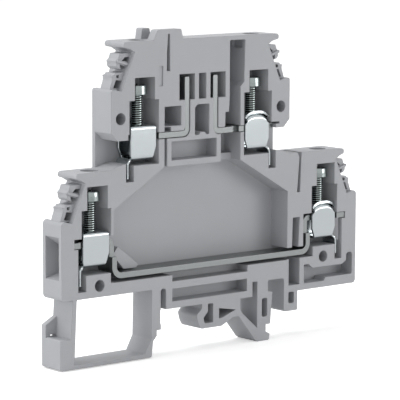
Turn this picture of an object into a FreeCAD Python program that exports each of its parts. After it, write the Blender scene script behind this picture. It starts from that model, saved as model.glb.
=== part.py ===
import FreeCAD, Part
import math
import os

# Double level terminal block, drawn from its open side. All sizes are millimetres.
# X runs along the block, Y through its thickness from the open side to the closed
# side, and Z points up. The origin lies on the foot's seat, midway between the
# foot's hook and its pad, and midway through the thickness.

# Housing, overall
thickness = 6.2
back_wall = 1.0
upper_centre = -7.6
upper_half = 23.3
lower_centre = -4.1
lower_half = 38.95
lower_bar = 18.5
storey_rise = 20.3
lower_bottom = 8.45
base_bottom = 4.1
base_left = -18.5
block_chamfer = 1.6

# Heights that follow from the bars
upper_bar = lower_bar + storey_rise
upper_top = upper_bar + 19.7
lower_top = lower_bar + 14.85
block_bottom = upper_bar + 0.2
upper_floor = upper_bar - 4.95
lower_floor = lower_bar - 5.5
run_height = lower_bar - 6.9
channel_floor = run_height - 0.6
recess_top = lower_top - 0.35
recess_shoulder = lower_bar + 6.9

# Screw axes
upper_reach = upper_half - 8.45
lower_reach = lower_half - 8.8
lower_left_axis = lower_centre - lower_reach
lower_right_axis = lower_centre + lower_reach
lower_left_end = lower_centre - lower_half
lower_right_end = lower_centre + lower_half
clamp_depth = 2.7

# Chambers round the screws
chamber_left = 3.9
upper_chamber_right = 3.55
lower_chamber_right = 3.35
upper_step = 7.95
lower_step = 7.4
upper_ceiling = 12.45
lower_ceiling = 12.0
neck_margin = 3.4
head_gap = 0.4
driver_hole = 3.6
slit_inner = 2.8
slit_outer = 4.75
slit_depth = 3.2
slit_head = 0.9
throat_reach = 4.75
throat_rise = 1.0
overlap = 0.5

# Clamping screw
screw_diameter = 2.5
screw_length = 7.7
head_diameter = 4.25
head_height = 1.9
head_recess = 1.0
recess_width = 0.6
recess_angle = 35
head_edge = 0.25
tip_gap = 0.06
tip_taper = 0.35

# Clamping yoke, a sheet bent to a ring that opens along X, its two ends lapped on top
yoke_half = 3.2
yoke_sheet = 0.55
yoke_depth = 4.6
yoke_drop = 4.0
yoke_bend = 0.8
deck_half = 3.05
deck_end = 2.85
deck_crown = 3.93
deck_back = 2.2
lap_half = 2.6
lap_end = 2.3
lap_crown = 3.1
lap_front = -1.65
lap_front_end = 1.98
lap_front_crown = 2.14
thread_fit = 0.03
tongue_sheet = 0.45
tongue_width = 3.0

# Bars
bar_thickness = 1.15
bar_width = 4.8
bar_front = 0.2
neck_width = 3.1
bend_radius = 0.9
low_bend_radius = 1.75
bar_corner = 0.25
bar_fit = 0.12
tongue_left = upper_centre - 3.97
tongue_right = upper_centre + 3.4
tongue_top = upper_bar + 12.0
upper_left_past = 4.2
upper_right_past = 4.75
lower_past = 5.7
run_left = lower_left_axis + 4.35
run_right = lower_right_axis - 4.7
shoulder_height = run_height + 4.4
bar_slot_past = 5.7

# Marking teeth along the sloping ends, set back from the open side
tooth_front = 1.2
tooth_back = 4.3
hollow_back = 3.6
rib_front = 0.7

# Posts on the top
front_post = 2.0
back_post = 4.3
post_height = 2.0

# Wire entries
funnel_front = 0.9
funnel_back = 5.3
funnel_top = lower_bar + 2.5
funnel_bottom = lower_bar - 6.0
throat_top = lower_bar - 0.3
throat_bottom = lower_bar - 4.9

# Peg holes
peg_diameter = 2.4
upper_peg_reach = upper_half - 2.375
upper_peg_height = upper_bar + 4.55
lower_peg_reach = lower_reach - 0.5
lower_peg_height = lower_bar - 7.8

# Depths of the pockets
shallow = 3.4
tray_depth = 3.3
passage_depth = 3.0
deep = thickness - back_wall
notch_depth = 0.25
wedge_depth = 3.0

# Outlines are lists of (x, z) or (x, z, corner radius). Those of an end are measured
# outwards from the storey's end face and up from its top face.
upper_beak = 3.1
lower_beak = 3.6
upper_end_corner = 0.5
lower_end_corner = 0.8
entry_ramp = [(0.3, 0.0), (-1.7, 0.65), (-4.9, 1.25), (-6.0, 1.25), (-6.0, -1.0), (0.3, -1.0)]
tooth_high = [(-6.3, -2.25), (-3.0, -2.4), (-2.9, -2.7), (-2.65, -3.35), (-2.1, -3.85),
              (-2.25, -4.2), (-2.25, -4.8), (-2.7, -5.3), (-3.5, -5.5), (-4.9, -5.6), (-6.3, -5.6)]
tooth_low = [(-4.6, -6.0), (-3.2, -6.1), (-1.85, -6.2), (-1.7, -6.5), (-1.1, -6.65),
             (-1.25, -7.1), (-1.2, -7.6), (-0.6, -9.3), (-3.3, -9.6), (-4.6, -9.6)]
hollows_high = [[(-6.5, -3.15), (-4.3, -3.15), (-3.6, -3.8), (-6.5, -4.1)],
                [(-3.1, -4.5), (-5.6, -5.3), (-5.6, -5.9), (-3.8, -5.9), (-3.15, -5.2)]]
hollows_low = [[(-2.9, -6.5), (-2.2, -6.6), (-2.25, -7.15), (-2.8, -7.15)],
               [(-4.1, -7.85), (-2.1, -7.5), (-1.45, -9.1), (-4.1, -9.4)]]
tooth_rib = [(-2.3, -3.55), (-2.3, -4.05), (-5.6, -5.03), (-5.6, -4.48)]

# Outlines in the upper storey are measured from its middle and from its bars' underside.
bump_edge = [(-1.2, -0.1), (1.1, -0.1), (0.5, 0.65, 0.4), (-0.6, 0.65, 0.4)]
middle_edge = [(-2.05, 0.1, 0.3), (1.7, 0.1, 0.3), (1.7, 6.3, 0.3), (-2.05, 6.3, 1.0)]
bend_gap_edge = [(-4.65, 1.05), (-5.45, 1.05), (-4.9, 1.3), (-4.65, 1.9)]
long_slot = [(7.05, 18.85, 0.3), (11.15, 18.85, 0.3), (10.9, 10.2), (9.95, 9.3), (10.0, -4.5),
             (4.75, -4.5), (4.75, 0.1), (4.1, 0.1), (4.1, 1.25), (5.88, 1.25, 0.35), (5.94, 4.3),
             (6.85, 4.3), (7.05, 7.4)]
top_slit = [(-9.05, 20.8), (-8.55, 20.8), (-8.5, 13.4), (-9.35, 13.4), (-9.3, 17.2)]
front_post_edge = [(-13.0, 19.2), (-11.7, 21.7, 0.5), (-5.7, 21.7, 0.3), (-5.0, 19.2)]
back_post_edge = [(-12.6, 19.2), (-12.2, 21.8, 0.3), (-10.4, 21.8, 0.3), (-9.9, 19.2)]

# Outlines of the lower storey and of the foot are measured from the origin.
recess_left = lower_left_axis + 3.95
recess_right = lower_right_axis - 10.65
recess_edge = [(upper_centre - 9.9, recess_top), (upper_centre + 10.0, recess_top),
               (recess_right, recess_shoulder), (recess_right, channel_floor - 0.1),
               (recess_left, channel_floor - 0.1), (recess_left, recess_shoulder)]
lower_right_slit = [(lower_right_axis - 8.15, lower_top + 0.35), (lower_right_axis - 6.7, lower_top + 0.35),
                    (lower_right_axis - 6.9, lower_top - 1.1), (lower_right_axis - 7.2, lower_bar + 6.5),
                    (lower_right_axis - 8.05, lower_bar + 6.5), (lower_right_axis - 7.45, lower_top - 1.1)]
side_slot_edge = [(lower_right_axis - 9.15, lower_bar + 1.2), (lower_right_axis - 7.2, lower_bar + 1.2),
                  (lower_right_axis - 7.55, lower_floor), (lower_right_axis - 9.35, lower_floor)]
wedge_edge = [(recess_left + 2.7, lower_bar - 0.9), (recess_left + 7.9, lower_bar - 4.9),
              (recess_left + 7.3, lower_bar - 5.5), (recess_left + 4.2, lower_bar - 5.5),
              (recess_left + 1.4, lower_bar - 2.4)]
window_edge = [(lower_left_end + 3.65, lower_bottom, 0.3), (-20.6, lower_bottom), (-20.8, -1.5),
               (-22.4, -4.45), (lower_left_end + 3.05, -4.5)]
frame_edge = [(lower_left_end + 2.7, lower_bottom + 0.25), (lower_left_end + 2.15, 0.8),
              (lower_left_end - 0.35, 0.8, 0.3), (lower_left_end - 0.35, -5.3, 0.5),
              (-20.7, -5.3, 0.3), (-20.3, -2.0), (-19.4, -1.05), (-19.4, 0.1),
              (-18.35, 0.1), (-18.35, 1.0), (base_left, 1.5), (base_left, lower_bottom + 0.25)]
gusset_edge = [(lower_left_end - 0.35, 0.6), (lower_left_end - 0.35, 3.2, 0.4),
               (lower_left_end + 2.85, 4.95), (lower_left_end + 2.45, 0.6)]
gusset_slot = [(lower_left_end + 0.75, 0.7), (lower_left_end + 0.75, 1.2),
               (lower_left_end + 2.15, 1.2), (lower_left_end + 2.15, 0.7)]
gusset_front = 4.9
spring_edge = [(-7.6, 4.4), (-7.6, 3.2, 0.5), (-9.0, 1.9, 0.7), (-8.6, 0.3), (-7.9, -1.0, 0.6),
               (-2.4, -1.0, 0.8), (0.5, 0.4, 1.0), (2.1, 0.6, 0.8), (6.7, -5.1, 0.4),
               (7.4, -5.5), (10.5, -5.5, 0.4), (10.7, -4.2, 0.3), (9.6, -3.6), (9.6, -2.1),
               (10.8, -2.1, 0.3), (11.35, 4.6, 0.4), (10.1, 4.8), (10.1, 7.6), (7.25, 7.6),
               (7.25, -2.6), (3.0, 1.1, 0.8), (2.6, 1.9, 0.5), (2.6, 4.4)]
loop_slot = [(-6.05, 4.0, 0.3), (-4.65, 4.0, 0.3), (-4.65, 0.0, 0.3), (-6.9, 0.0, 0.4),
             (-7.2, 1.2, 0.3), (-6.05, 2.4)]
spring_window = [(-3.1, 2.75), (-3.1, 0.6), (-2.2, 0.7), (1.4, 1.95)]
pad_edge = [(14.6, 7.6), (14.6, 0.4), (15.0, 0.0), (18.35, 0.0, 0.3), (18.35, 4.4)]
latch_gap = [(10.1, 7.15, 0.4), (14.6, 7.15, 0.6), (14.6, 3.0), (11.4, 3.0), (11.35, 4.6), (10.1, 4.8)]
foot_recess = [(20.15, 5.4, 0.3), (25.9, 5.4), (26.3, 6.1), (lower_right_end - 0.95, 6.1, 0.4),
               (lower_right_end - 0.95, 10.9, 0.7), (lower_right_end - 2.65, 10.9, 0.7),
               (lower_right_end - 2.65, 9.2, 0.4), (lower_right_end - 3.85, 8.5), (22.6, 8.5),
               (21.5, 9.4), (20.15, 9.4)]

# Outlines of a left yoke as seen from the front, round its screw axis and its bar's underside
yoke_front_edge = [(-3.2, 2.7), (3.2, 2.7), (3.2, -1.4), (2.4, -3.6), (2.0, -4.0),
                   (-2.5, -4.0), (-2.9, -3.7), (-3.2, -3.2)]
yoke_back_edge = [(-3.2, 0.6), (-2.35, 2.0), (-1.2, 2.75), (1.2, 2.75), (2.0, 2.1), (3.2, 1.1),
                  (3.2, -1.7), (2.5, -4.0), (-2.4, -4.0), (-3.2, -1.9)]
yoke_top = 2.75
tongue_path = [(-2.3, -3.725), (-2.9, -3.725), (-3.3, -4.1), (-3.66, -4.6), (-3.74, -5.0), (-3.74, -7.6)]


def vector(x, z):
    """A point of the drawing plane, y = 0."""
    return FreeCAD.Vector(x, 0, z)


def corner_edges(before, here, after, radius):
    """Tangent arc that rounds one corner, with the points where it starts and ends."""
    to_before = (before - here).normalize()
    to_after = (after - here).normalize()
    half_angle = to_before.getAngle(to_after) / 2
    reach = radius / math.tan(half_angle)
    start = here + to_before * reach
    end = here + to_after * reach
    inward = (to_before + to_after).normalize()
    middle = here + inward * (radius / math.sin(half_angle) - radius)
    return start, middle, end


def outline_wire(points):
    """Closed wire in the XZ plane through corners that may each carry a radius."""
    places = [vector(point[0], point[1]) for point in points]
    radii = [point[2] if len(point) > 2 else 0 for point in points]
    starts = []
    ends = []
    arcs = []
    for index, here in enumerate(places):
        if radii[index] == 0:
            starts.append(here)
            ends.append(here)
            arcs.append(None)
            continue
        before = places[index - 1]
        after = places[(index + 1) % len(places)]
        start, middle, end = corner_edges(before, here, after, radii[index])
        starts.append(start)
        ends.append(end)
        arcs.append(Part.Arc(start, middle, end).toShape())
    edges = []
    for index, arc in enumerate(arcs):
        if arc is not None:
            edges.append(arc)
        following = starts[(index + 1) % len(starts)]
        if ends[index].distanceToPoint(following) > 1e-6:
            edges.append(Part.LineSegment(ends[index], following).toShape())
    return Part.Wire(edges)


def extruded(points, start, length):
    """Outline carried along Y from a start."""
    face = Part.Face(outline_wire(points))
    solid = face.extrude(FreeCAD.Vector(0, length, 0))
    solid.translate(FreeCAD.Vector(0, start, 0))
    return solid


def prism(points, near=0.0, far=thickness):
    """Outline carried through the thickness, between two depths from the open side."""
    return extruded(points, near - thickness / 2, far - near)


def rectangle(left, right, bottom, top, radius=0):
    """Rectangle as an outline, all corners alike."""
    corners = [(left, bottom), (right, bottom), (right, top), (left, top)]
    return [corner + (radius,) for corner in corners]


def slab(left, right, bottom, top, near=0.0, far=thickness, radius=0):
    """Rectangular block between two depths from the open side."""
    return prism(rectangle(left, right, bottom, top, radius), near, far)


def upper(points):
    """Outline of the upper storey, carried to its place."""
    return [(upper_centre + point[0], upper_bar + point[1]) + tuple(point[2:]) for point in points]


def upper_slab(left, right, bottom, top, near, far, radius=0):
    """Rectangular block measured from the upper storey's middle and its bars' underside."""
    return prism(upper(rectangle(left, right, bottom, top, radius)), near, far)


def cut_all(shape, tools):
    """Shape less every tool."""
    return shape.cut(tools)


def join(shapes):
    """One solid from overlapping shapes, with its seams removed."""
    return shapes[0].multiFuse(shapes[1:]).removeSplitter()


def end_points(centre, half, top, side, offsets):
    """Offsets from an end and a top, as points on the left (-1) or right (1) end."""
    return [(centre + side * (half + offset[0]), top + offset[1]) + tuple(offset[2:])
            for offset in offsets]


def end_edge(beak, corner):
    """Upper edge of an end: a rounded beak, the sloping wall under it and the shoulder."""
    return [(-9.0, 0), (-beak - 1.0, 0), (-beak, -0.1, 0.6), (-beak - 0.1, -1.1, 0.4), (-4.8, -1.45),
            (-5.9, -2.1), (-2.72, -9.7), (-2.2, -9.65), (-1.1, -9.3), (0, -9.3, corner)]


UPPER = {"centre": upper_centre, "half": upper_half, "reach": upper_reach, "top": upper_top,
         "bar": upper_bar, "floor": upper_floor, "step": upper_bar + upper_step,
         "ceiling": upper_bar + upper_ceiling, "right": upper_chamber_right}
LOWER = {"centre": lower_centre, "half": lower_half, "reach": lower_reach, "top": lower_top,
         "bar": lower_bar, "floor": lower_floor, "step": lower_bar + lower_step,
         "ceiling": lower_bar + lower_ceiling, "right": lower_chamber_right}
CLAMPS = [("upper_left", UPPER, -1), ("upper_right", UPPER, 1),
          ("lower_left", LOWER, -1), ("lower_right", LOWER, 1)]


def clamp_axis(storey, side):
    """X of the screw on one side of a storey."""
    return storey["centre"] + side * storey["reach"]


def upper_storey():
    """Upper block, the neck under it, and the wall behind its open wire entries."""
    edge = end_edge(upper_beak, upper_end_corner)
    drop = block_bottom - upper_top
    edge += [(0, drop + block_chamfer), (-block_chamfer, drop)]
    right = end_points(upper_centre, upper_half, upper_top, 1, edge)
    left = end_points(upper_centre, upper_half, upper_top, -1, edge)
    block = prism(right + left[::-1])
    neck_half = upper_reach + neck_margin
    neck = slab(upper_centre - neck_half, upper_centre + neck_half, lower_top - 1, block_bottom + 1)
    wall = slab(upper_centre - upper_half, upper_centre + upper_half,
                lower_top - 1, block_bottom + 2, deep, thickness)
    ramps = [prism(end_points(upper_centre, upper_half, lower_top, side, entry_ramp))
             for side in (-1, 1)]
    return [block, neck, wall] + ramps


def lower_storey():
    """Lower block, from its top face down to the edge over the window."""
    edge = end_edge(lower_beak, lower_end_corner)
    drop = lower_bottom - lower_top
    right = end_points(lower_centre, lower_half, lower_top, 1, edge + [(0, drop)])
    left = end_points(lower_centre, lower_half, lower_top, -1, edge + [(0, drop, 1.0)])
    return prism(right + left[::-1])


def teeth():
    """Marking teeth on all four ends, hollowed from the front, with a thin rib before them."""
    solids = []
    for storey in (UPPER, LOWER):
        for side in (-1, 1):
            place = (storey["centre"], storey["half"], storey["top"], side)
            for outline, hollows in ((tooth_high, hollows_high), (tooth_low, hollows_low)):
                tooth = prism(end_points(*place, outline), tooth_front, tooth_back)
                tools = [prism(end_points(*place, hollow), 0, hollow_back) for hollow in hollows]
                solids.append(tooth.cut(tools))
            solids.append(prism(end_points(*place, tooth_rib), rib_front, tooth_front + 0.2))
    return solids


def posts():
    """Two small posts that stand on the top face, at the front and at the back."""
    return [prism(upper(front_post_edge), 0, front_post),
            prism(upper(back_post_edge), back_post, thickness)]


def base():
    """Band under the lower block that carries the foot."""
    left = slab(base_left, 0, base_bottom, lower_bottom + 1)
    right = prism([(-1, base_bottom), (lower_right_end, base_bottom, 0.8),
                   (lower_right_end, lower_bottom + 1), (-1, lower_bottom + 1)])
    return [left, right]


def side_frame():
    """Open frame on the left, with its slim strap, its block and its gusset."""
    return [prism(frame_edge), prism(gusset_edge, gusset_front, thickness)]


def foot():
    """Hook loop, zigzag spring and latch bar, moulded as one strip, and the pad."""
    return [prism(spring_edge), prism(pad_edge)]


def chamber(storey, axis):
    """Pocket for a screw's head over the wider pocket for its yoke."""
    head_half = head_diameter / 2 + head_gap
    return [slab(axis - chamber_left, axis + storey["right"], storey["floor"], storey["step"], 0, deep),
            slab(axis - head_half, axis + head_half, storey["step"] - 1, storey["ceiling"], 0, deep)]


def beside(axis, side, inner, outer, bottom, top):
    """Deep slab between two distances from a screw axis, on its outer side."""
    ends = (axis + side * inner, axis + side * outer)
    return slab(min(ends), max(ends), bottom, top, 0, deep)


def driver_shaft(storey, axis):
    """Round hole from the top face down to the screw's head."""
    bottom = storey["ceiling"] - overlap
    height = storey["top"] + 1 - bottom
    start = FreeCAD.Vector(axis, clamp_depth - thickness / 2, bottom)
    return Part.makeCylinder(driver_hole / 2, height, start, FreeCAD.Vector(0, 0, 1))


def funnel_section(x, front, back, bottom, top):
    """Rectangular wire across a wire entry."""
    shift = thickness / 2
    corners = [FreeCAD.Vector(x, front - shift, bottom), FreeCAD.Vector(x, back - shift, bottom),
               FreeCAD.Vector(x, back - shift, top), FreeCAD.Vector(x, front - shift, top)]
    return Part.makePolygon(corners + corners[:1])


def wire_funnel(axis, side):
    """Tapering wire entry through an end of the lower storey."""
    mouth = lower_centre + side * (lower_half + 0.01)
    throat = axis + side * (throat_reach - 0.2)
    outer = funnel_section(mouth, funnel_front, funnel_back, funnel_bottom, funnel_top)
    inner = funnel_section(throat, funnel_front + 0.2, deep, throat_bottom, throat_top)
    return Part.makeLoft([outer, inner], True, True)


def clamp_pockets():
    """Everything cut for the four clamping places."""
    tools = []
    for name, storey, side in CLAMPS:
        axis = clamp_axis(storey, side)
        floor = storey["floor"]
        wall = chamber_left if side < 0 else storey["right"]
        tools += chamber(storey, axis)
        tools.append(beside(axis, side, slit_inner, slit_outer, floor - slit_depth, floor + slit_head))
        tools.append(driver_shaft(storey, axis))
        if storey is LOWER:
            tools.append(beside(axis, side, wall - overlap, throat_reach, floor, lower_bar + throat_rise))
            tools.append(wire_funnel(axis, side))
        if name == "upper_right":
            tools.append(beside(axis, side, wall - overlap, bar_slot_past, upper_bar + 1.0, upper_bar + 1.45))
        if name == "lower_left":
            tools.append(beside(axis, side, wall - overlap, bar_slot_past, lower_bar + 1.0, lower_bar + 1.9))
    return tools


def test_slots():
    """Row of three slots over the bars' upright ends."""
    return [upper_slab(left, right, 7.4, 12.6, 0, deep)
            for left, right in ((-6.1, -2.1), (-1.05, 0.85), (1.95, 5.95))]


def slot_scoop():
    """Rounded scoop at the top of the long slot's right wall."""
    outline = rectangle(-2.3, 0.9, upper_bar + 17.0, upper_bar + 18.85, 0.6)
    scoop = extruded(outline, -0.6, 1.2)
    scoop.rotate(FreeCAD.Vector(0, 0, 0), FreeCAD.Vector(0, 0, 1), 90)
    scoop.translate(FreeCAD.Vector(upper_centre + 11.15, 0, 0))
    return scoop


def upper_pockets():
    """Pockets between the upper chambers."""
    middle = prism(upper(middle_edge), 0, deep).cut(prism(upper(bump_edge), 0, deep))
    corner = [upper_slab(-8.9, -5.6, 2.35, 6.3, 0, deep),
              upper_slab(-9.9, -8.0, 2.35, 6.3, 0, shallow),
              upper_slab(-9.9, -8.2, 1.3, 2.2, 0, deep),
              prism(upper(bend_gap_edge), 0, deep)]
    tray = upper_slab(-8.1, 3.65, -4.6, -0.8, 0, tray_depth)
    narrow = slab(upper_centre - 9.9, upper_centre - 9.2, recess_top - 1, upper_bar + 0.1, 0, deep)
    passage = slab(upper_centre + 4.75, upper_centre + 10.0, recess_top - 1, upper_bar - 4.3,
                   0, passage_depth)
    notch = upper_slab(-11.3, -10.3, 10.5, 14.5, 0, notch_depth)
    return test_slots() + [middle, tray, narrow, passage, notch, prism(upper(long_slot), 0, deep),
                           slot_scoop(), prism(upper(top_slit), 0, deep)] + corner


def lower_pockets():
    """Central recess, the bar's channel and the pockets round them."""
    channel_top = channel_floor + 2.4
    return [prism(recess_edge, 0, deep),
            slab(run_left - 1.1, run_right + 0.95, channel_floor, channel_top, 0, deep),
            slab(run_left - 1.1, run_left + 0.9, channel_floor, lower_bar + 1.9, 0, deep),
            slab(run_right - 1.5, run_right + 1.25, channel_floor, lower_bar + 1.7, 0, deep),
            prism(side_slot_edge, 0, deep),
            prism(lower_right_slit, 0, deep)]


def base_pockets():
    """Pockets in the band over the foot."""
    return [slab(-15.4, 4.4, 5.5, 8.1, 0, shallow),
            slab(-15.4, 4.5, 9.6, channel_floor + 0.5, 0, shallow),
            slab(15.85, 18.9, 5.4, channel_floor + 0.5, 0, deep),
            prism(foot_recess, 0, shallow),
            slab(-18.4, -17.0, 3.0, 8.4, 0, deep, 0.6),
            slab(-18.4, -17.0, 3.0, 4.8),
            slab(8.5, 10.0, -0.45, 3.5, 0, deep, 0.5),
            slab(15.85, 17.4, 1.6, 4.0, 0, deep, 0.3),
            prism(loop_slot, 0, deep),
            prism(spring_window),
            prism(window_edge),
            prism(gusset_slot),
            slab(5.9, 7.25, 3.0, 7.2),
            prism(latch_gap)]


def peg_holes():
    """Blind holes that take the pegs of the neighbouring block."""
    holes = []
    for centre, reach, height in ((upper_centre, upper_peg_reach, upper_peg_height),
                                  (lower_centre, lower_peg_reach, lower_peg_height)):
        for side in (-1, 1):
            start = FreeCAD.Vector(centre + side * reach, -thickness / 2 - 1, height)
            holes.append(Part.makeCylinder(peg_diameter / 2, deep + 1, start, FreeCAD.Vector(0, 1, 0)))
    return holes


def housing():
    """Moulded housing with its chambers, its channels and its spring foot."""
    solids = upper_storey() + [lower_storey()] + teeth() + posts() + base() + side_frame() + foot()
    body = join(solids)
    tools = clamp_pockets() + upper_pockets() + lower_pockets() + base_pockets() + peg_holes()
    tools += [prism(bar_outline(name, bar_fit), 0, deep) for name in BAR_NAMES]
    body = cut_all(body, tools)
    wedge = prism(wedge_edge, deep - wedge_depth, deep + 0.2)
    return join([body, wedge])


def band_points(path, width, tip=0.0):
    """Outline of a strip along a path of (x, z) or (x, z, bend), whose bends are concentric arcs."""
    left = []
    right = []
    places = [vector(point[0], point[1]) for point in path]
    for index, here in enumerate(places):
        incoming = here - places[index - 1] if index > 0 else places[1] - here
        last = index == len(path) - 1
        outgoing = incoming * 1 if last else places[index + 1] - here
        incoming.normalize()
        outgoing.normalize()
        first_normal = vector(-incoming.z, incoming.x)
        second_normal = vector(-outgoing.z, outgoing.x)
        mitre = first_normal + second_normal
        mitre = mitre * (width / 2 / mitre.dot(first_normal))
        turn = incoming.x * outgoing.z - incoming.z * outgoing.x
        bent = len(path[index]) > 2
        bend = path[index][2] if bent else 0
        swing = width / 2 if turn < 0 else -width / 2
        plain = tip if last else 0
        left.append((here.x + mitre.x, here.z + mitre.z, bend + swing if bent else plain))
        right.append((here.x - mitre.x, here.z - mitre.z, bend - swing if bent else plain))
    return left + right[::-1]


BAR_NAMES = ("busbar_upper_left", "busbar_upper_right", "busbar_lower")


def bar_path(name):
    """Centre line of a bar in the drawing plane."""
    half = bar_thickness / 2
    if name == "busbar_upper_left":
        end = clamp_axis(UPPER, -1) - upper_left_past
        return [(end, upper_bar + half), (tongue_left, upper_bar + half, bend_radius), (tongue_left, tongue_top)]
    if name == "busbar_upper_right":
        end = clamp_axis(UPPER, 1) + upper_right_past
        return [(end, upper_bar + half), (tongue_right, upper_bar + half, bend_radius), (tongue_right, tongue_top)]
    return [(lower_left_axis - lower_past, lower_bar + half), (run_left, lower_bar + half, bend_radius),
            (run_left, run_height + half, low_bend_radius), (run_right, run_height + half, low_bend_radius),
            (run_right, lower_bar + half, bend_radius), (lower_right_axis + lower_past, lower_bar + half)]


def bar_outline(name, clearance=0.0):
    """Outline of a bar, or of the channel round it."""
    tip = 0 if clearance > 0 or name == "busbar_lower" else bar_corner
    return band_points(bar_path(name), bar_thickness + 2 * clearance, tip)


def wide_parts(name):
    """Stretches over which a bar keeps its full width."""
    if name == "busbar_upper_left":
        inner = clamp_axis(UPPER, -1) + upper_chamber_right + 0.1
        return [slab(inner, upper_centre, upper_bar - 1, tongue_top + 1)]
    if name == "busbar_upper_right":
        rib_left = upper_centre + 9.7
        rib_right = clamp_axis(UPPER, 1) - chamber_left + 0.1
        return [slab(upper_centre, rib_left - 1.6, upper_bar - 1, tongue_top + 1),
                slab(rib_left, rib_right, upper_bar - 1, upper_bar + 3)]
    left_wall = lower_left_axis - chamber_left
    right_wall = lower_right_axis + lower_chamber_right
    return [slab(run_left - 5, run_right + 5, channel_floor, shoulder_height),
            slab(lower_left_end, left_wall - 0.1, lower_bar - 1, lower_bar + 3),
            slab(right_wall + 0.1, lower_right_end, lower_bar - 1, lower_bar + 3)]


def busbar(name):
    """Bent bar, wide in the housing and narrower where it passes through the yokes."""
    neck_front = clamp_depth - neck_width / 2
    slim = prism(bar_outline(name), neck_front, neck_front + neck_width)
    wide = prism(bar_outline(name), bar_front, bar_front + bar_width)
    return join([slim] + [wide.common(stretch) for stretch in wide_parts(name)])


def screw(axis, bar):
    """Clamping screw with a slotted cheese head, standing on the bar."""
    tip = bar + bar_thickness + tip_gap
    under_head = tip + screw_length
    top = under_head + head_height
    radius = screw_diameter / 2
    head_radius = head_diameter / 2
    profile = [(0, tip), (radius - tip_taper, tip), (radius, tip + tip_taper), (radius, under_head),
               (head_radius, under_head), (head_radius, top - head_edge),
               (head_radius - head_edge, top), (0, top)]
    points = [FreeCAD.Vector(offset, 0, height) for offset, height in profile]
    face = Part.Face(Part.makePolygon(points + points[:1]))
    turned = face.revolve(FreeCAD.Vector(0, 0, 0), FreeCAD.Vector(0, 0, 1), 360)
    slot = Part.makeBox(head_diameter + 1, recess_width, head_recess + 1,
                        FreeCAD.Vector(-head_radius - 0.5, -recess_width / 2, top - head_recess))
    slot.rotate(FreeCAD.Vector(0, 0, 0), FreeCAD.Vector(0, 0, 1), recess_angle)
    solid = turned.cut(slot)
    solid.translate(FreeCAD.Vector(axis, clamp_depth - thickness / 2, 0))
    return solid


def deck_section(y, half, end, crown):
    """Section of an arched sheet across the yoke, as a closed polygon."""
    steps = (-1, -0.5, 0, 0.5, 1)
    tops = [FreeCAD.Vector(step * half, y, end + (crown - end) * (1 - step * step)) for step in steps]
    under = [FreeCAD.Vector(point.x, y, point.z - yoke_sheet) for point in tops]
    points = tops + under[::-1]
    return Part.makePolygon(points + points[:1])


def deck(front, back):
    """Arched sheet between two sections."""
    return Part.makeLoft([deck_section(*front), deck_section(*back)], True, True)


def yoke_walls():
    """Front plate, floor and back plate, bent from one sheet and cut to their outlines."""
    half = yoke_depth / 2
    inside = half - yoke_sheet
    floor = -yoke_drop + yoke_sheet
    inner_bend = yoke_bend - yoke_sheet
    section = [(-half, yoke_top), (-half, -yoke_drop, yoke_bend), (half, -yoke_drop, yoke_bend),
               (half, yoke_top), (inside, yoke_top), (inside, floor, inner_bend),
               (-inside, floor, inner_bend), (-inside, yoke_top)]
    channel = extruded(section, -yoke_half, 2 * yoke_half)
    channel.rotate(FreeCAD.Vector(0, 0, 0), FreeCAD.Vector(0, 0, 1), 90)
    front = extruded(yoke_front_edge, -half - 1, half + 1)
    back = extruded(yoke_back_edge, 0, half + 1)
    return [channel.common(front), channel.common(back)]


def yoke(axis, side, bar):
    """Clamping yoke: lapped ring with a threaded hole on top and a tongue at the outer foot."""
    half = yoke_depth / 2
    front_top = yoke_top - 0.05
    upper_deck = deck((-half, deck_half, front_top, front_top), (deck_back, deck_half, deck_end, deck_crown))
    lower_deck = deck((lap_front, lap_half, lap_front_end, lap_front_crown),
                      (half, lap_half, lap_end, lap_crown))
    tongue = extruded(band_points(tongue_path, tongue_sheet), -tongue_width / 2, tongue_width)
    body = join(yoke_walls() + [upper_deck, lower_deck, tongue])
    bore = Part.makeCylinder(screw_diameter / 2 + thread_fit, deck_crown, FreeCAD.Vector(0, 0, bar_thickness),
                             FreeCAD.Vector(0, 0, 1))
    body = body.cut(bore)
    if side > 0:
        body.rotate(FreeCAD.Vector(0, 0, 0), FreeCAD.Vector(0, 0, 1), 180)
    body.translate(FreeCAD.Vector(axis, clamp_depth - thickness / 2, bar))
    return body


def write(name, shape):
    """Save one solid under the name of its node."""
    solids = shape.Solids
    if len(solids) != 1 or not shape.isValid():
        print("look at", name, "solids", len(solids), "valid", shape.isValid())
    solid = solids[0] if len(solids) == 1 else shape
    solid.exportStep("parts/" + name + ".step")
    print(name, "volume", round(solid.Volume, 2), "faces", len(solid.Faces))


os.makedirs("parts", exist_ok=True)
write("housing", housing())
for bar_name in BAR_NAMES:
    write(bar_name, busbar(bar_name))
for clamp_name, clamp_storey, clamp_side in CLAMPS:
    clamp_x = clamp_axis(clamp_storey, clamp_side)
    write("screw_" + clamp_name, screw(clamp_x, clamp_storey["bar"]))
    write("yoke_" + clamp_name, yoke(clamp_x, clamp_side, clamp_storey["bar"]))
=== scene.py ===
# %% [markdown]
# # A double level terminal block
# The block is a flat grey moulding, open on one side, with four screw clamps and three bent
# bars inside it. The solids come in as a fixed frame, and this lesson dresses them: it gives
# each surface a finish, and makes the pieces whose form is finer than the solids.

# %% Load the fixed frame
import math

import bpy
import numpy as np
from mathutils import Matrix, Vector


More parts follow.
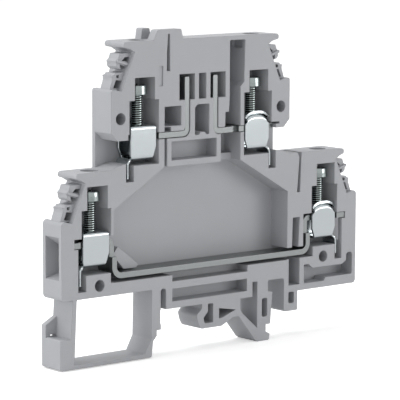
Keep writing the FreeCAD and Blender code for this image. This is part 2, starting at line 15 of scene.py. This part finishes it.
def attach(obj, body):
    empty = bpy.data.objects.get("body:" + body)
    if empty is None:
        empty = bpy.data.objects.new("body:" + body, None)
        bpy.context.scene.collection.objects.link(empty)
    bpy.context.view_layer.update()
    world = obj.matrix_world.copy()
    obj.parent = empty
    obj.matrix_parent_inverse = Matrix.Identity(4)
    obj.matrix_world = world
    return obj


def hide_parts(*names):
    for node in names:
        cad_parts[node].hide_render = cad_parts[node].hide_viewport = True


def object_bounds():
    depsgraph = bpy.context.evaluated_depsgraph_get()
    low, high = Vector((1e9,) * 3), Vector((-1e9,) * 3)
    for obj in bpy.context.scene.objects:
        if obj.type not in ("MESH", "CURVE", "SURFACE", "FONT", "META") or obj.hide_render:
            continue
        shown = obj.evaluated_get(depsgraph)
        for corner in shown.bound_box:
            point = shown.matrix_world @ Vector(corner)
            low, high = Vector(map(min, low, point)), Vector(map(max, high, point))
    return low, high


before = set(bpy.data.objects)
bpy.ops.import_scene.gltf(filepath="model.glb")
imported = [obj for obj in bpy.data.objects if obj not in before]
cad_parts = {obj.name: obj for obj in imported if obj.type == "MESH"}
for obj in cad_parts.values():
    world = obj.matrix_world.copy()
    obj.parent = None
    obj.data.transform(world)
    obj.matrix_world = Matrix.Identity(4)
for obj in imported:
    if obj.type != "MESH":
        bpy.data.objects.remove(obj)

cad_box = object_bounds()
MM = 0.001
print("nodes", sorted(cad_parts))

# %% [markdown]
# ## The camera
# The photograph looks at the open side from the left and a little above, from about half a
# metre, with a long lens. The view is written as two angles, a small roll and a place. The
# lens is written in pixels of the photograph, which a sensor's width turns to millimetres.

# %% Camera at the photograph's viewing angle
IMAGE_SIDE = 400
FOCAL_PIXELS = 2504.6
SENSOR_WIDTH = 36.0
NEAREST_SEEN = 0.01
FARTHEST_SEEN = 20.0
YAW = math.radians(39.45)
PITCH = math.radians(7.94)
ROLL = math.radians(0.23)
CAMERA_PLACE = Vector((-327.52, -391.06, 95.67)) * MM


def view_matrix(place, yaw, pitch, roll):
    """Looks along (sin yaw cos pitch, cos yaw cos pitch, -sin pitch), rolled about that line."""
    level = math.cos(pitch)
    forward = Vector((math.sin(yaw) * level, math.cos(yaw) * level, -math.sin(pitch)))
    right = Vector((math.cos(yaw), -math.sin(yaw), 0.0))
    up = right.cross(forward)
    turned_right = right * math.cos(roll) + up * math.sin(roll)
    turned_up = up * math.cos(roll) - right * math.sin(roll)
    axes = Matrix((turned_right, turned_up, -forward)).transposed().to_4x4()
    return Matrix.Translation(place) @ axes


lens = bpy.data.cameras.new("camera")
lens.sensor_width = SENSOR_WIDTH
lens.lens = FOCAL_PIXELS * SENSOR_WIDTH / IMAGE_SIDE
lens.clip_start = NEAREST_SEEN
lens.clip_end = FARTHEST_SEEN
camera = bpy.data.objects.new("camera", lens)
camera.matrix_world = view_matrix(CAMERA_PLACE, YAW, PITCH, ROLL)
bpy.context.scene.collection.objects.link(camera)
bpy.context.scene.camera = camera
print("lens", round(lens.lens, 1), "mm")

# %% [markdown]
# ## Helpers for materials
# Colours are written as sRGB hex values, as they look on screen, and one function turns them
# to the linear values that the renderer uses. One small function adds a node with its inputs
# and settings, so that each material reads as a list of what feeds what. A Mix node keeps one
# pair of inputs for each kind of value, so its colours are reached by their place in the list.

# %% Colours


def linear(hex_colour):
    """sRGB hex to linear: c/12.92 up to 0.04045, else ((c + 0.055)/1.055) to the power 2.4."""
    channels = [int(hex_colour[i:i + 2], 16) / 255 for i in (1, 3, 5)]
    light = [c / 12.92 if c <= 0.04045 else ((c + 0.055) / 1.055) ** 2.4 for c in channels]
    return (*light, 1.0)


print("mid grey #808080 is", round(linear("#808080")[0], 3), "in linear light")

# %% Nodes and materials
MIX_A = 6
MIX_B = 7
MIX_RESULT = 2


def add_node(tree, kind, inputs=None, **settings):
    """Adds one node; an input given as a socket is linked, and any other is set as a value."""
    node = tree.nodes.new(kind)
    for name, value in settings.items():
        setattr(node, name, value)
    for name, value in (inputs or {}).items():
        if isinstance(value, bpy.types.NodeSocket):
            tree.links.new(value, node.inputs[name])
        else:
            node.inputs[name].default_value = value
    return node


def new_material(name):
    """An empty material with its node tree and its output node."""
    material = bpy.data.materials.new(name)
    material.use_nodes = True
    tree = material.node_tree
    tree.nodes.clear()
    output = add_node(tree, "ShaderNodeOutputMaterial")
    return material, tree, output


def finish_with(tree, output, shader):
    """Joins a shader to the material's output."""
    tree.links.new(shader.outputs[0], output.inputs["Surface"])


print("a Mix node's colours are inputs", MIX_A, "and", MIX_B)

# %% [markdown]
# ## The housing's plastic
# The housing is injection moulded polyamide, filled for strength. Its face is a fine matte
# grain from a spark-eroded mould, with faint cloudiness where the melt flowed, and its edges
# are broken by a tenth or two of a millimetre, which catches the light. The grain is a bump,
# the cloudiness is a slow noise between two close greys, and a Bevel node softens the edges
# without more faces.

# %% Moulded polyamide
PLASTIC = "#aaabaf"
PLASTIC_DARK = "#a3a5a8"
PLASTIC_ROUGHNESS = 0.5
PLASTIC_IOR = 1.53
PLASTIC_SPECULAR = 0.35
CLOUD_SIZE = 9.0 * MM
CLOUD_DETAIL = 3.0
GRAIN_SIZE = 0.12 * MM
GRAIN_DETAIL = 2.0
GRAIN_HEIGHT = 0.02 * MM
GRAIN_STRENGTH = 0.12
EDGE_RADIUS = 0.16 * MM
EDGE_SAMPLES = 6


def polyamide():
    """Matte grain, faint cloudiness and softened edges."""
    material, tree, output = new_material("moulded_polyamide")
    place = add_node(tree, "ShaderNodeTexCoord").outputs["Object"]
    cloud = add_node(tree, "ShaderNodeTexNoise",
                     {"Vector": place, "Scale": 1 / CLOUD_SIZE, "Detail": CLOUD_DETAIL})
    colour = add_node(tree, "ShaderNodeMix",
                      {"Factor": cloud.outputs["Fac"], MIX_A: linear(PLASTIC_DARK),
                       MIX_B: linear(PLASTIC)}, data_type="RGBA")
    grain = add_node(tree, "ShaderNodeTexNoise",
                     {"Vector": place, "Scale": 1 / GRAIN_SIZE, "Detail": GRAIN_DETAIL})
    edge = add_node(tree, "ShaderNodeBevel", {"Radius": EDGE_RADIUS}, samples=EDGE_SAMPLES)
    bump = add_node(tree, "ShaderNodeBump",
                    {"Height": grain.outputs["Fac"], "Strength": GRAIN_STRENGTH,
                     "Distance": GRAIN_HEIGHT, "Normal": edge.outputs["Normal"]})
    shader = add_node(tree, "ShaderNodeBsdfPrincipled",
                      {"Base Color": colour.outputs[MIX_RESULT], "Roughness": PLASTIC_ROUGHNESS,
                       "IOR": PLASTIC_IOR, "Specular IOR Level": PLASTIC_SPECULAR,
                       "Normal": bump.outputs["Normal"]})
    finish_with(tree, output, shader)
    return material


plastic = polyamide()
print("plastic", plastic.name, "with", len(plastic.node_tree.nodes), "nodes")

# %% [markdown]
# ## The metals
# The yokes and screws are steel with bright zinc plating: a clear, slightly blue-green silver
# that mirrors its surroundings softly. The bars are copper with a tin coat, which is greyer and
# duller, with fine rolling lines along the strip. The lines are noise that is stretched along
# the sheet. Real ones are finer than a pixel, so these are as coarse as they need to be to
# show. The screws' colour has shade painted in the roots of the thread, where little light
# reaches.

# %% Plated metal
LINE_DETAIL = 3.0
LINE_STRENGTH = 0.25
SMOOTHER = 0.03
ROUGHER = 0.05


def plated(name, colour, roughness, line_size, line_depth, stretch, edge_radius):
    """Metal with soft lines: noise with its own scale along X, Y and Z.

    The same noise drives the bump, and it takes the roughness a little under and over its value.
    """
    material, tree, output = new_material(name)
    place = add_node(tree, "ShaderNodeTexCoord").outputs["Object"]
    drawn = add_node(tree, "ShaderNodeMapping", {"Vector": place, "Scale": stretch})
    lines = add_node(tree, "ShaderNodeTexNoise",
                     {"Vector": drawn.outputs[0], "Scale": 1 / line_size, "Detail": LINE_DETAIL})
    rough = add_node(tree, "ShaderNodeMapRange",
                     {"Value": lines.outputs["Fac"], "To Min": roughness - SMOOTHER,
                      "To Max": roughness + ROUGHER})
    edge = add_node(tree, "ShaderNodeBevel", {"Radius": edge_radius}, samples=EDGE_SAMPLES)
    bump = add_node(tree, "ShaderNodeBump",
                    {"Height": lines.outputs["Fac"], "Strength": LINE_STRENGTH,
                     "Distance": line_depth, "Normal": edge.outputs["Normal"]})
    shader = add_node(tree, "ShaderNodeBsdfPrincipled",
                      {"Base Color": linear(colour), "Metallic": 1.0,
                       "Roughness": rough.outputs[0], "Normal": bump.outputs["Normal"]})
    finish_with(tree, output, shader)
    return material


print("a metal's roughness varies by", round(SMOOTHER + ROUGHER, 2))

# %% The sheet's zinc and the bars' tin
YOKE_COLOUR = "#bcc2c4"
BAR_COLOUR = "#868989"

yoke_zinc = plated("zinc_plated_sheet", YOKE_COLOUR, roughness=0.14, line_size=0.35 * MM,
                   line_depth=0.003 * MM, stretch=(0.12, 1.0, 1.0), edge_radius=0.12 * MM)
bar_tin = plated("tin_plated_copper", BAR_COLOUR, roughness=0.36, line_size=0.3 * MM,
                 line_depth=0.004 * MM, stretch=(0.1, 1.0, 0.6), edge_radius=0.12 * MM)
print("metals", yoke_zinc.name, bar_tin.name)

# %% The screws' zinc, with painted shade in the roots of the thread
SCREW_COLOUR = "#9aa2a1"
# The dark colour of the shade painted into the thread's roots.
ROOT_SHADE_COLOUR = "#1c201f"
ROOT_SHADE_ATTRIBUTE = "painted_root_shade"


def paint_root_shade(material, colour):
    """Paints shade: mixes the metal's colour with a dark one by the surface's attribute, 0 to 1."""
    tree = material.node_tree
    shader = next(node for node in tree.nodes if node.type == "BSDF_PRINCIPLED")
    painted_root_shade = add_node(tree, "ShaderNodeAttribute", attribute_name=ROOT_SHADE_ATTRIBUTE)
    tone = add_node(tree, "ShaderNodeMix",
                    {"Factor": painted_root_shade.outputs["Fac"], MIX_A: linear(colour),
                     MIX_B: linear(ROOT_SHADE_COLOUR)}, data_type="RGBA")
    tree.links.new(tone.outputs[MIX_RESULT], shader.inputs["Base Color"])


screw_zinc = plated("zinc_plated_screw", SCREW_COLOUR, roughness=0.13, line_size=0.3 * MM,
                    line_depth=0.002 * MM, stretch=(1.0, 1.0, 1.0), edge_radius=0.03 * MM)
# Paints shade into the roots of the screws' thread.
paint_root_shade(screw_zinc, SCREW_COLOUR)
print("metal", screw_zinc.name, "reads the attribute", ROOT_SHADE_ATTRIBUTE)

# %% [markdown]
# ### Finishes on the frame's pieces
# The first word of a piece's name says what it is made of. The screws and yokes of the frame
# get their finish too, although the detailed pieces further on stand in for them.

# %% Put a finish on each piece
finishes = {"housing": plastic, "busbar": bar_tin, "screw": screw_zinc, "yoke": yoke_zinc}
for name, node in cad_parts.items():
    kind = name.split("_")[0]
    node.data.materials.clear()
    node.data.materials.append(finishes[kind])
print("finishes", {kind: material.name for kind, material in finishes.items()})

# %% [markdown]
# ## The clamping screws
# Each clamp has a cheese-head screw with a fine rolled thread. The solids carry it as plain
# cylinders, because a thread costs many facets. Here the shank is one surface over a grid of
# turn and height, whose radius rises and falls once for each turn, so the ridges climb as a
# real helix does. The head is a short round disc with two half discs on top of it, and the gap
# between them is the slot for the driver.

# %% Faces of a grid


def grid_faces(rows, columns):
    """Quads between neighbouring rows of points, with each row closed on itself."""
    row, column = np.meshgrid(np.arange(rows - 1), np.arange(columns), indexing="ij")
    following = (column + 1) % columns
    quads = np.stack((row * columns + column, row * columns + following,
                      (row + 1) * columns + following, (row + 1) * columns + column), axis=-1)
    return quads.reshape(-1, 4)


print("a ring of 4 points and 2 rows makes", len(grid_faces(2, 4)), "quads")

# %% Closed shells


def closed_shell(points):
    """Grid of points (rows, columns, 3), each row a ring, with a fan over its first and last row.

    The two middles of the fans come after the grid's own points.
    """
    rows, columns = points.shape[:2]
    body = points.reshape(-1, 3)
    ends = np.stack((points[0].mean(axis=0), points[-1].mean(axis=0)))
    step = np.arange(columns)
    following = (step + 1) % columns
    below = np.stack((np.full(columns, rows * columns), following, step), axis=-1)
    last = (rows - 1) * columns
    above = np.stack((np.full(columns, rows * columns + 1), last + step, last + following), axis=-1)
    faces = grid_faces(rows, columns).tolist() + below.tolist() + above.tolist()
    return np.concatenate((body, ends)), faces


print("closed, those rows make", len(closed_shell(np.zeros((2, 4, 3)))[1]), "faces")

# %% Objects made of shells
SHARP_ANGLE = 0.6


def make_object(name, shells, material):
    """One object from several closed shells in mm; edges over the sharp angle stay sharp."""
    points = []
    faces = []
    count = 0
    for shell_points, shell_faces in shells:
        points.append(shell_points)
        faces += [[index + count for index in face] for face in shell_faces]
        count += len(shell_points)
    mesh = bpy.data.meshes.new(name)
    mesh.from_pydata((np.concatenate(points) * MM).tolist(), [], faces)
    mesh.update()
    mesh.shade_smooth()
    mesh.set_sharp_from_angle(angle=SHARP_ANGLE)
    mesh.materials.append(material)
    item = bpy.data.objects.new(name, mesh)
    bpy.context.scene.collection.objects.link(item)
    return item


print("edges stay sharp from", round(math.degrees(SHARP_ANGLE)), "degrees")

# %% [markdown]
# ### Thread
# The thread's crests are flats with a slight slope, and its roots are narrow. Little light
# reaches a root, and that shade is painted into the colour through an attribute of the surface.
# The ridges run out under the head, and the tip is tapered. Sizes are in millimetres from here
# on, and the mesh is scaled to metres when it is made.

# %% Threaded shank
PITCH_OF_THREAD = 0.45
THREAD_DEPTH = 0.2
WAVE_STEEPNESS = 4.2
CREST_CUT = 0.8
CREST_SLOPE = 0.15
RUNOUT_TURNS = 1.2
SHANK_RADIUS = 1.25
SHANK_LENGTH = 7.7
TIP_TAPER = 0.35
STEPS_ROUND = 64
STEPS_PER_PITCH = 12


def threaded_shank():
    """Radius = full radius - (depth * wave + slope * pitch * phase) * runout.

    The phase is what is left of height/pitch - turn over a whole number, and the wave is
    steepness * |phase - 1/2| - cut, held between 0 at the crest and 1 at the root. The runout
    falls to 0 under the head. The radius is at most full radius - taper + height, at the tip.
    The second result is wave * runout, the shade that is painted into the roots.
    """
    steps = int(SHANK_LENGTH / PITCH_OF_THREAD * STEPS_PER_PITCH)
    height = np.linspace(0.0, SHANK_LENGTH, steps)[:, None]
    turn = np.linspace(0.0, 1.0, STEPS_ROUND, endpoint=False)[None, :]
    phase = np.mod(height / PITCH_OF_THREAD - turn, 1.0)
    wave = np.clip(WAVE_STEEPNESS * np.abs(phase - 0.5) - CREST_CUT, 0.0, 1.0)
    runout = np.clip((SHANK_LENGTH - height) / (RUNOUT_TURNS * PITCH_OF_THREAD), 0.0, 1.0)
    radius = SHANK_RADIUS - (THREAD_DEPTH * wave + CREST_SLOPE * PITCH_OF_THREAD * phase) * runout
    radius = np.minimum(radius, SHANK_RADIUS - TIP_TAPER + height)
    angle = 2 * math.pi * turn
    upright = np.broadcast_to(height, radius.shape)
    points = np.stack((radius * np.cos(angle), radius * np.sin(angle), upright), axis=-1)
    return points, (wave * runout).reshape(-1)


print("the shank has", round(SHANK_LENGTH / PITCH_OF_THREAD, 1), "turns of thread")

# %% [markdown]
# ### Head
# The head narrows a little towards its top, as cheese heads do, and its rim is rounded. Each
# form is an outline that is repeated at a few heights and drawn in by a little at each.

# %% Outlines drawn in


def rings(outline, rows):
    """The outline at each row's height, every point drawn towards the middle by the row's inset.

    Point = middle + (point - middle) * (1 - inset / its distance from the middle).
    """
    middle = outline.mean(axis=0)
    reach = np.linalg.norm(outline - middle, axis=1)[:, None]
    layers = []
    for height, inset in rows:
        drawn_in = middle + (outline - middle) * (1 - inset / reach)
        layers.append(np.column_stack((drawn_in, np.full(len(outline), height))))
    return np.stack(layers)


square = np.array([(1.0, 1.0), (-1.0, 1.0), (-1.0, -1.0), (1.0, -1.0)])
print("a square at two heights is a grid of", rings(square, [(0.0, 0.0), (1.0, 0.2)]).shape)

# %% Slotted head
HEAD_RADIUS = 2.125
HEAD_HEIGHT = 1.9
HEAD_DRAFT = 0.09
FOOT_BEVEL = 0.1
RIM_BEVEL = 0.22
RIM_SHOULDER = 0.3
RIM_FULLNESS = 0.07
SLOT_DEPTH = 1.0
SLOT_WIDTH = 0.6
SLOT_WALL_POINTS = 12
HALVES_SUNK = 0.05


def half_disc(side):
    """Arc of the head's radius on one side of the slot, closed by the slot's straight wall."""
    low = math.asin(SLOT_WIDTH / 2 / HEAD_RADIUS)
    angle = np.linspace(low, math.pi - low, STEPS_ROUND // 2)
    arc = np.column_stack((np.cos(angle), np.sin(angle))) * HEAD_RADIUS
    across = np.linspace(arc[-1, 0], arc[0, 0], SLOT_WALL_POINTS + 2)[1:-1]
    wall = np.column_stack((across, np.full(SLOT_WALL_POINTS, SLOT_WIDTH / 2)))
    return np.concatenate((arc, wall)) * side


def slotted_head():
    """A disc under the slot's floor, and a half disc on each side of the slot above it."""
    angle = np.linspace(0.0, 2 * math.pi, STEPS_ROUND, endpoint=False)
    disc = np.column_stack((np.cos(angle), np.sin(angle))) * HEAD_RADIUS
    floor = SHANK_LENGTH + HEAD_HEIGHT - SLOT_DEPTH
    top = SHANK_LENGTH + HEAD_HEIGHT
    draft_at_floor = HEAD_DRAFT * (floor - SHANK_LENGTH) / HEAD_HEIGHT
    disc_rows = [(SHANK_LENGTH, FOOT_BEVEL), (SHANK_LENGTH + FOOT_BEVEL, 0.0),
                 (floor, draft_at_floor)]
    half_rows = [(floor - HALVES_SUNK, draft_at_floor), (top - RIM_BEVEL, HEAD_DRAFT),
                 (top - RIM_BEVEL * RIM_SHOULDER, HEAD_DRAFT + RIM_FULLNESS),
                 (top, HEAD_DRAFT + RIM_BEVEL)]
    halves = [closed_shell(rings(half_disc(side), half_rows)) for side in (-1, 1)]
    return [closed_shell(rings(disc, disc_rows))] + halves


print("the head is", 2 * HEAD_RADIUS, "mm wide, in", len(slotted_head()), "shells")

# %% [markdown]
# ### The four screws
# A clamp's place is the X of its screw and the height of its bar's underside, from which the
# clamp's heights are counted. The screws stop just above their bars, and their slots stand at
# an angle to the block's length.

# %% Screws
CLAMPS = {"upper_left": (-22.45, 38.8), "upper_right": (7.25, 38.8),
          "lower_left": (-34.25, 18.5), "lower_right": (26.05, 18.5)}
SCREW_Y = -0.4
TIP_HEIGHT = 1.21
SLOT_TURN = math.radians(35)


def turned(points, angle):
    """Points turned about the origin's vertical: (x cos - y sin, x sin + y cos, z)."""
    cosine, sine = math.cos(angle), math.sin(angle)
    return points @ np.array([[cosine, sine, 0.0], [-sine, cosine, 0.0], [0.0, 0.0, 1.0]])


for name, (axis_x, bar) in CLAMPS.items():
    place = np.array([axis_x, SCREW_Y, bar + TIP_HEIGHT])
    thread_points, root_shade = threaded_shank()
    shells = [closed_shell(thread_points)] + slotted_head()
    shells = [(turned(points, SLOT_TURN) + place, faces) for points, faces in shells]
    piece = make_object("screw_piece_" + name, shells, screw_zinc)
    # The shade painted into the thread's roots is kept as a point attribute.
    painted_root_shade = np.zeros(len(piece.data.vertices), dtype=np.float32)
    painted_root_shade[:len(root_shade)] = root_shade  # the thread's points come first in the piece
    piece.data.attributes.new(ROOT_SHADE_ATTRIBUTE, "FLOAT", "POINT").data.foreach_set("value", painted_root_shade)
    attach(piece, "screw_" + name)
    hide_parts("screw_" + name)
    print(piece.name, len(piece.data.polygons), "faces")

# %% [markdown]
# ## The clamping yokes
# A yoke is one strip of steel, cut to shape and bent to a ring: an arched deck that the screw
# is threaded through, a front plate, a floor, a back plate, and a second arched deck that laps
# under the first. A tongue at its outer foot goes down into a slit and keeps it upright, and
# comes clear of the slit's mouth at the top of the yoke's travel. In the solids the decks meet
# the plates at sharp edges. Here the strip follows one path in side view, its width and its
# arch are given at a few stations along it, and smoothing between the stations gives real bends.

# %% Even steps along a path
STRIP_STEP = 0.1
SMOOTHING = 1


def smoothed(values):
    """Running mean over a few neighbours, with the first and last value kept."""
    window = 2 * SMOOTHING + 1
    before, after = np.repeat(values[:1], SMOOTHING), np.repeat(values[-1:], SMOOTHING)
    padded = np.concatenate((before, values, after))
    mean = np.convolve(padded, np.full(window, 1 / window), mode="valid")
    mean[0], mean[-1] = values[0], values[-1]
    return mean


def along(stations):
    """Rows of numbers at even steps along the path that the first two columns draw."""
    table = np.array(stations)
    lengths = np.linalg.norm(np.diff(table[:, :2], axis=0), axis=1)
    place = np.concatenate(([0.0], np.cumsum(lengths)))
    even = np.linspace(0.0, place[-1], int(place[-1] / STRIP_STEP) + 1)
    return np.column_stack([smoothed(np.interp(even, place, column)) for column in table.T])


print("the bends are smoothed over", round(2 * SMOOTHING * STRIP_STEP, 2), "mm of the path")

# %% A strip bent from sheet
SHEET_EDGE = 0.09
ARCH_POWER = 3.0


def bent_strip(stations, sheet, across):
    """A strip of sheet as a closed shell, in (across, forward, up).

    At every step along the path a flat ring of points stands for the strip's section. A point
    is the path's point, moved across the strip and by half the sheet's thickness along the
    path's normal, and lowered by drop * |distance from the middle / half width| to a power.
    """
    forward, up, left, right, drop = along(stations).T[:, :, None]
    tangent = np.stack((np.gradient(forward[:, 0]), np.gradient(up[:, 0])), axis=1)
    tangent /= np.linalg.norm(tangent, axis=1)[:, None]
    normal_forward, normal_up = -tangent[:, 1:2], tangent[:, 0:1]
    half = sheet / 2
    share = np.linspace(0.0, 1.0, across)[None, :]
    inner = left + SHEET_EDGE + (right - left - 2 * SHEET_EDGE) * share
    top = np.concatenate((left, inner, right), axis=1)
    edge = [half - SHEET_EDGE]
    lift = np.concatenate((edge, np.full(across, half), edge))[None, :]
    width = np.concatenate((top, top[:, ::-1]), axis=1)
    offset = np.concatenate((lift, -lift), axis=1)
    arch = drop * np.abs((width - (left + right) / 2) / ((right - left) / 2)) ** ARCH_POWER
    points = np.stack((width, forward + offset * normal_forward,
                       up + offset * normal_up - arch), axis=-1)
    rows, columns = points.shape[:2]
    step = np.arange(columns // 2 - 1)
    cap = np.stack((step, step + 1, columns - 2 - step, columns - 1 - step), axis=-1)
    far_cap = cap[:, ::-1] + (rows - 1) * columns
    faces = np.concatenate((grid_faces(rows, columns), cap, far_cap))
    return points.reshape(-1, 3), faces.tolist()


print("a strip's long edges are broken by", SHEET_EDGE, "mm")

# %% [markdown]
# ### The ring and the tongue
# Each station gives the path's place in side view, the strip's left and right edge, and how far
# its sides hang below its middle. The numbers follow the solids' plates and decks.

# %% Stations of the ring and the tongue
YOKE_SHEET = 0.55
TONGUE_SHEET = 0.45
RING_COLUMNS = 18
TONGUE_COLUMNS = 6
# Forward, up, left edge, right edge, drop of the sides
RING_STATIONS = [
    (2.2, 3.66, -3.05, 3.05, 1.05),  # upper deck, from its free end
    (1.0, 3.33, -3.05, 3.05, 0.78),
    (0.0, 3.05, -3.05, 3.05, 0.5),
    (-1.3, 2.7, -3.05, 3.05, 0.16),
    (-1.9, 2.52, -3.1, 3.1, 0.03),
    (-2.025, 2.3, -3.2, 3.2, 0.0),  # front plate, downwards
    (-2.025, -1.4, -3.2, 3.2, 0.0),
    (-2.025, -3.1, -3.2, 2.6, 0.0),
    (-2.025, -3.45, -3.0, 2.45, 0.0),
    (-1.7, -3.725, -2.7, 2.2, 0.0),  # floor
    (1.7, -3.725, -2.45, 2.5, 0.0),
    (2.025, -3.4, -2.6, 2.65, 0.0),  # back plate, upwards, narrower at its top
    (2.025, -1.8, -3.2, 3.2, 0.0),
    (2.025, 1.2, -3.2, 3.2, 0.0),
    (2.025, 1.75, -2.75, 2.75, 0.12),
    (2.025, 2.5, -2.6, 2.6, 0.7),
    (1.75, 2.98, -2.6, 2.6, 0.85),  # lower deck, to its free end under the upper one
    (0.0, 2.43, -2.6, 2.6, 0.5),
    (-1.6, 1.87, -2.6, 2.6, 0.16),
]
TONGUE_STATIONS = [
    (-2.3, -3.725, -1.5, 1.5, 0.0),  # outwards from the floor
    (-2.9, -3.725, -1.8, 1.8, 0.0),
    (-3.3, -4.1, -2.0, 2.0, 0.0),
    (-3.66, -4.6, -2.0, 2.0, 0.0),  # down into the slit
    (-3.72, -5.0, -2.0, 2.0, 0.0),
    (-3.72, -7.6, -2.0, 2.0, 0.0),
]
print("a section of the ring has", 2 * (RING_COLUMNS + 2), "points")

# %% [markdown]
# ### The four yokes
# The tongue's path runs sideways, so its two level axes are swapped. That turns its faces
# inside out, and they are turned back. The yokes of the right clamps are the same piece, turned
# half round, so that their tongue is on the outer side too. The hole for the screw is cut last,
# through both decks at once.

# %% Yokes
BORE_RADIUS = 1.28
BORE_BOTTOM = 1.3
BORE_TOP = 6.0
BORE_STEPS = 48


def bore_through(piece, place):
    """Takes a round hole out of the decks, with a cylinder that is removed again afterwards."""
    angle = np.linspace(0.0, 2 * math.pi, BORE_STEPS, endpoint=False)
    circle = np.column_stack((np.cos(angle), np.sin(angle))) * BORE_RADIUS
    points, faces = closed_shell(rings(circle, [(BORE_BOTTOM, 0.0), (BORE_TOP, 0.0)]))
    drill = make_object("drill", [(points + place, faces)], yoke_zinc)
    cut = piece.modifiers.new("bore", "BOOLEAN")
    cut.operation = "DIFFERENCE"
    cut.solver = "EXACT"
    cut.object = drill
    bpy.context.view_layer.update()
    evaluated = piece.evaluated_get(bpy.context.evaluated_depsgraph_get())
    bored = bpy.data.meshes.new_from_object(evaluated)
    piece.modifiers.clear()
    piece.data = bored
    bpy.data.objects.remove(drill)


for name, (axis_x, bar) in CLAMPS.items():
    place = np.array([axis_x, SCREW_Y, bar])
    ring, ring_faces = bent_strip(RING_STATIONS, YOKE_SHEET, RING_COLUMNS)
    tongue, tongue_faces = bent_strip(TONGUE_STATIONS, TONGUE_SHEET, TONGUE_COLUMNS)
    tongue = tongue[:, [1, 0, 2]]
    tongue_faces = [face[::-1] for face in tongue_faces]
    half_turn = math.pi if name.endswith("right") else 0.0
    shells = [(turned(points, half_turn) + place, faces)
              for points, faces in ((ring, ring_faces), (tongue, tongue_faces))]
    piece = make_object("yoke_piece_" + name, shells, yoke_zinc)
    bore_through(piece, place)
    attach(piece, "yoke_" + name)
    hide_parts("yoke_" + name)
    print(piece.name, len(piece.data.polygons), "faces")

# %% [markdown]
# ## Light
# A plain white surround lights every side alike. It gives less light than it shows, so that
# it looks white to the camera and in the metals while the plastic isn't washed out. A large
# soft lamp, high behind the left, brightens the top faces, and one at the left brightens the
# left ends. A third one at the front right gives the plates and threads their bright streaks.

# %% White surround
SURROUND_LIGHT = 0.6
SURROUND_SEEN = 1.0
WHITE = (1, 1, 1, 1)


def surround():
    """White world: the strength that lights the object, and 1 where a camera or mirror sees it."""
    world = bpy.data.worlds.new("surround")
    bpy.context.scene.world = world
    world.use_nodes = True
    tree = world.node_tree
    tree.nodes.clear()
    rays = add_node(tree, "ShaderNodeLightPath")
    seen = add_node(tree, "ShaderNodeMath",
                    {0: rays.outputs["Is Camera Ray"], 1: rays.outputs["Is Glossy Ray"]},
                    operation="MAXIMUM")
    seen_too = add_node(tree, "ShaderNodeMath",
                        {0: seen.outputs[0], 1: rays.outputs["Is Transmission Ray"]},
                        operation="MAXIMUM")
    strength = add_node(tree, "ShaderNodeMapRange",
                        {"Value": seen_too.outputs[0], "To Min": SURROUND_LIGHT,
                         "To Max": SURROUND_SEEN})
    light = add_node(tree, "ShaderNodeBackground",
                     {"Color": WHITE, "Strength": strength.outputs[0]})
    output = add_node(tree, "ShaderNodeOutputWorld")
    tree.links.new(light.outputs[0], output.inputs["Surface"])


surround()
print("world", bpy.context.scene.world.name)

# %% Soft lamps


def soft_lamp(name, place, target, width, height, power):
    """Area lamp at a place in metres, turned to a target."""
    lamp = bpy.data.lights.new(name, "AREA")
    lamp.shape = "RECTANGLE"
    lamp.size = width
    lamp.size_y = height
    lamp.energy = power
    item = bpy.data.objects.new(name, lamp)
    item.location = place
    item.rotation_euler = (Vector(target) - Vector(place)).to_track_quat("-Z", "Y").to_euler()
    bpy.context.scene.collection.objects.link(item)
    print("lamp", name, power, "W")


soft_lamp("sky", place=(-0.25, 0.15, 0.8), target=(0, 0, 0.03),
          width=0.5, height=0.5, power=3.5)
soft_lamp("front", place=(0.5, -0.66, 0.16), target=(0, 0, 0.02),
          width=0.42, height=0.3, power=1.45)
soft_lamp("left", place=(-0.8, 0.1, 0.2), target=(0, 0, 0.03),
          width=0.4, height=0.4, power=1.6)

# %% [markdown]
# ## The floor
# The floor lies at the block's lowest point. It is white, and the camera sees it a little
# brighter than the lamps make it, so that it runs out to white and keeps the block's soft
# shadow. Only the camera's own rays see that. Reflections show the floor's plain paint.

# %% Floor
FLOOR_REACH = 3.0
FLOOR_COLOUR = "#f4f4f4"
FLOOR_ROUGHNESS = 0.9
FLOOR_LIFT = 0.4


def floor_white():
    """White paint that adds a little light of its own to the camera's rays only."""
    material, tree, output = new_material("white_floor")
    rays = add_node(tree, "ShaderNodeLightPath")
    lift = add_node(tree, "ShaderNodeMath", {0: rays.outputs["Is Camera Ray"], 1: FLOOR_LIFT},
                    operation="MULTIPLY")
    shader = add_node(tree, "ShaderNodeBsdfPrincipled",
                      {"Base Color": linear(FLOOR_COLOUR), "Roughness": FLOOR_ROUGHNESS,
                       "Emission Color": WHITE, "Emission Strength": lift.outputs[0]})
    finish_with(tree, output, shader)
    return material


floor_height = cad_box[0][2]
corners = [(-FLOOR_REACH, -FLOOR_REACH, floor_height), (FLOOR_REACH, -FLOOR_REACH, floor_height),
           (FLOOR_REACH, FLOOR_REACH, floor_height), (-FLOOR_REACH, FLOOR_REACH, floor_height)]
floor_mesh = bpy.data.meshes.new("floor")
floor_mesh.from_pydata(corners, [], [(0, 1, 2, 3)])
floor_mesh.materials.append(floor_white())
floor = bpy.data.objects.new("floor", floor_mesh)
bpy.context.scene.collection.objects.link(floor)
bpy.context.scene.view_settings.view_transform = "Standard"
print("floor at", round(floor_height / MM, 2), "mm")

# %% [markdown]
# ## The sizes, and the close
# The box round the solids is printed, in millimetres.

# %% The box of the solids
print("box of the solids, mm", [[round(side / MM, 2) for side in corner] for corner in cad_box])
